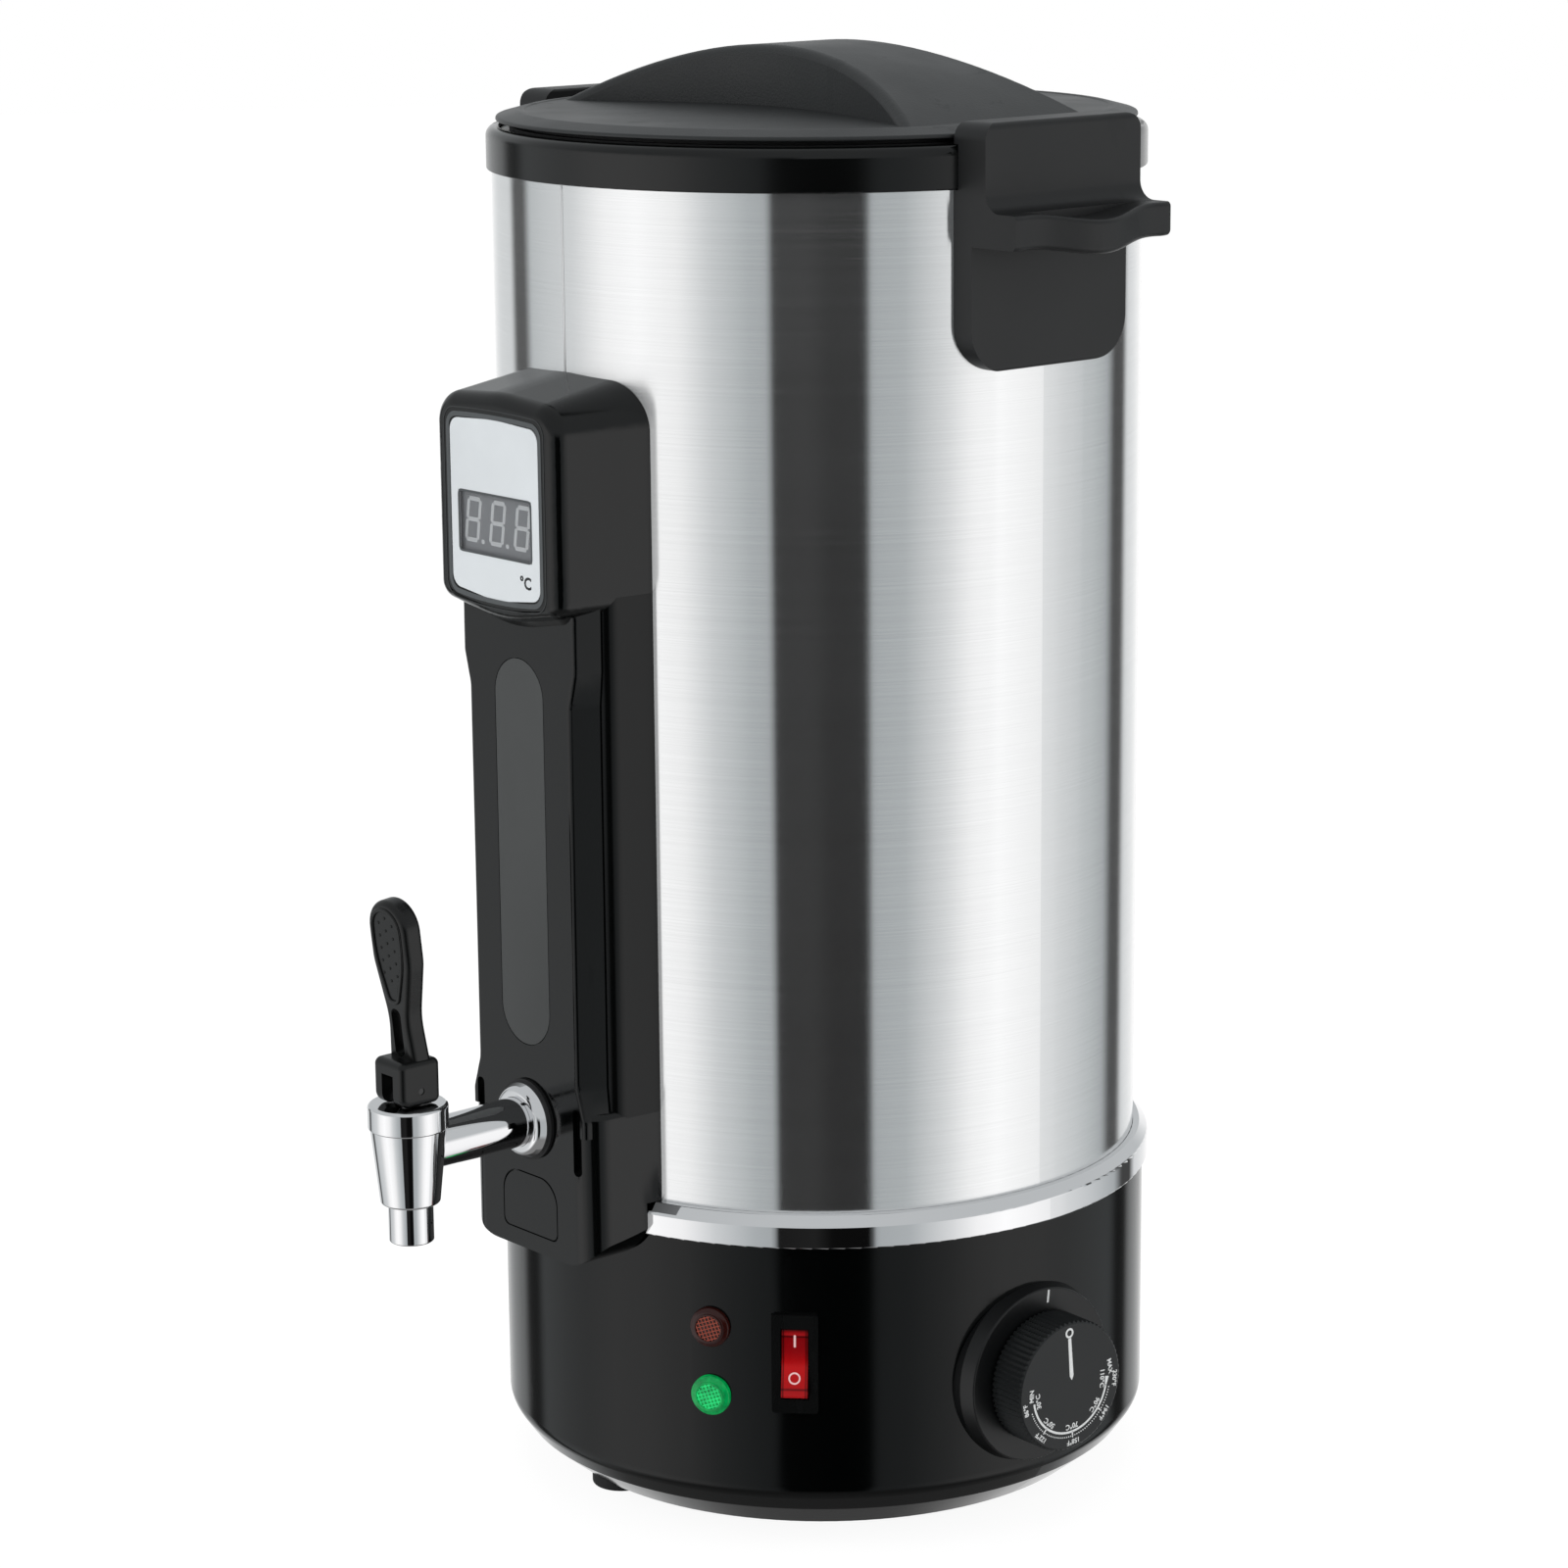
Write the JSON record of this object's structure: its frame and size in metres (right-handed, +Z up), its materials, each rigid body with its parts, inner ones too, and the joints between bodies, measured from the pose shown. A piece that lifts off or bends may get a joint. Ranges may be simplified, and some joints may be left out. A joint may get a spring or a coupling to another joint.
{
  "type": "electric wax melting urn",
  "caption": "Electric wax melting urn: brushed steel pot on a black base, lift-off lid, carrying handles, display column, spring-closed tap, thermostat knob.",
  "frame": {"origin": "on the pot's axis at the surface the feet stand on", "axes": "+Z up, -Y out through the tap, +X out through the right handle"},
  "size_m": [0.252, 0.2819, 0.4518],
  "materials": {
    "base_gloss_black": "gloss",
    "sheet_steel": "plain",
    "foot_rubber": "matte",
    "screw_steel": "zinc plated",
    "chrome": "polished",
    "shell_steel": "brushed",
    "ring_black": "gloss",
    "pot_steel": "satin",
    "aluminium": "cast",
    "element_sheath": "oxidised",
    "cutout_body": "matte",
    "copper": "plain",
    "thermostat_case": "matte",
    "bezel_black": "satin",
    "knob_black": "satin",
    "spindle_brass": "plain",
    "switch_black": "satin",
    "rocker_red": "gloss",
    "terminal_brass": "tinned",
    "lamp_red": "ribbed lens",
    "lamp_green": "ribbed lens",
    "inlet_black": "matte",
    "ceramic": "glazed",
    "handle_black": "fine texture",
    "lid_black": "fine texture",
    "silicone": "matte",
    "column_black": "gloss",
    "label_grey": "satin print",
    "window": "tinted",
    "display": "matte",
    "insert_grey": "satin",
    "stem_steel": "turned",
    "spring_steel": "drawn",
    "lever_black": "satin",
    "gasket_black": "matte",
    "wire_insulation": "silicone rubber"
  },
  "bodies": {
    "urn": {"base_shell": "base_gloss_black", "base_plate": "sheet_steel", "heater_clamp": "sheet_steel", "heat_shield": "sheet_steel", "rubber_feet": "foot_rubber", "foot_screws": "screw_steel", "shell_screws": "screw_steel", "pot_stud": "screw_steel", "stud_nuts": "screw_steel", "thermostat_screws": "screw_steel", "inlet_screws": "screw_steel", "handle_screws": "screw_steel", "column_screws": "screw_steel", "shank_nuts": "screw_steel", "lamp_nuts": "screw_steel", "chrome_band": "chrome", "tap_body": "chrome", "tap_bonnet": "chrome", "tap_washer": "chrome", "outer_shell": "shell_steel", "top_ring": "ring_black", "inner_pot": "pot_steel", "temperature_probe": "pot_steel", "heater_plate": "aluminium", "heating_element": "element_sheath", "thermal_cutout": "cutout_body", "thermostat_bulb": "copper", "thermostat_body": "thermostat_case", "knob_bezel": "bezel_black", "switch_housing": "switch_black", "switch_terminals": "terminal_brass", "inlet_pins": "terminal_brass", "red_lamp": "lamp_red", "green_lamp": "lamp_green", "power_inlet": "inlet_black", "terminal_block": "ceramic", "handle_right": "handle_black", "handle_left": "handle_black", "shank_seals": "silicone", "column_cover": "column_black", "column_frame": "column_black", "tap_hatch": "column_black", "display_label": "label_grey", "display_window": "window", "display_module": "display", "grip_insert": "insert_grey", "tap_spring": "spring_steel", "tap_gasket": "gasket_black", "internal_wires": "wire_insulation"},
    "lid": {"lid_shell": "lid_black", "lid_liner": "pot_steel", "lid_seal": "silicone", "lid_screws": "screw_steel"},
    "lever": {"tap_lever": "lever_black", "lever_pin": "screw_steel"},
    "stem": {"tap_stem": "stem_steel", "tap_seat": "silicone"},
    "knob": {"control_knob": "knob_black", "knob_spindle": "spindle_brass"},
    "rocker": {"switch_rocker": "rocker_red"}
  },
  "joints": [
    {"name": "lid_lift", "type": "slide", "parent": "urn", "child": "lid", "axis": [0, 0, 1], "range_m": [0, 0.1]},
    {"name": "stem_lift", "type": "slide", "parent": "urn", "child": "stem", "axis": [0, 0, 1], "range_m": [0, 0.00208], "stiffness_N_per_m": 300, "springref_m": -0.004, "deforming": ["tap_spring"]},
    {"name": "lever_tilt", "type": "hinge", "parent": "stem", "child": "lever", "pos_m": [0, -0.165, 0.1526], "axis": [1, 0, 0], "range_deg": [0, 35]},
    {"name": "knob_turn", "type": "hinge", "parent": "urn", "child": "knob", "pos_m": [0.10985, -0.00576, 0.051], "axis": [0.9986, -0.0523, 0], "range_deg": [-265, 0]},
    {"name": "rocker_tip", "type": "hinge", "parent": "urn", "child": "rocker", "pos_m": [0.07025, -0.07402, 0.0622], "axis": [0.7254, 0.6884, 0], "range_deg": [0, 24]}
  ],
  "couplings": [
    {"joint": "lever_tilt", "follows": "stem_lift", "rad_per_m": 294}
  ]
}
